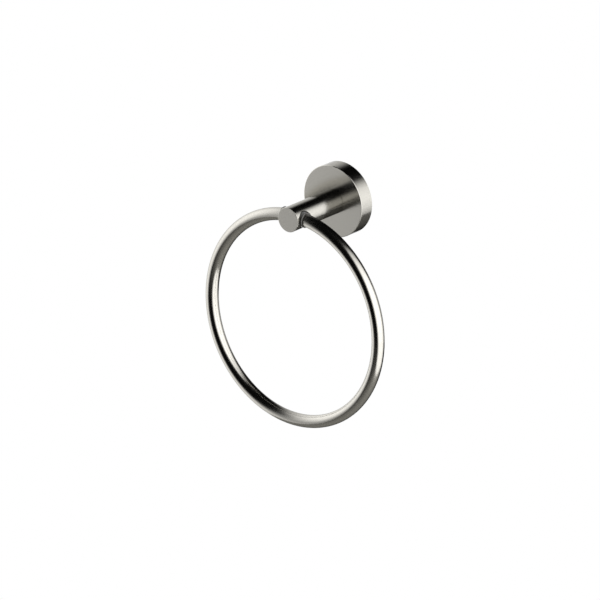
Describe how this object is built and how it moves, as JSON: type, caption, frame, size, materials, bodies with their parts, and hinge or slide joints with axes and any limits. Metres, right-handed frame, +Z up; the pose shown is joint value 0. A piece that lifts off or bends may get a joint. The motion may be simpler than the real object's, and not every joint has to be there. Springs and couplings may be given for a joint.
{
  "type": "towel ring",
  "caption": "Wall-mounted towel ring: a round flange carries a turned post, and a round-bar ring hangs and swings in plastic bushes near the post's end.",
  "frame": {"origin": "centre of the wall face, midway between the two wall screw holes", "axes": "+X to the right, +Y into the wall, +Z up; the post reaches out along -Y and the ring hangs below it"},
  "size_m": [0.168, 0.0635, 0.1901],
  "materials": {
    "brushed_metal": "satin brushed",
    "plated_steel": "zinc plated",
    "dark_nylon": "moulded"
  },
  "bodies": {
    "holder": {"wall_bracket": "plated_steel", "flange": "brushed_metal", "flange_grub_screw": "plated_steel", "post": "brushed_metal", "post_washer": "plated_steel", "post_screw": "plated_steel", "left_bush": "dark_nylon", "right_bush": "dark_nylon"},
    "ring": {"ring": "brushed_metal"}
  },
  "joints": [
    {"name": "ring_swing", "type": "hinge", "parent": "holder", "child": "ring", "pos_m": [0, -0.05525, 0], "axis": [-1, 0, 0], "range_deg": [-18, 198]}
  ]
}
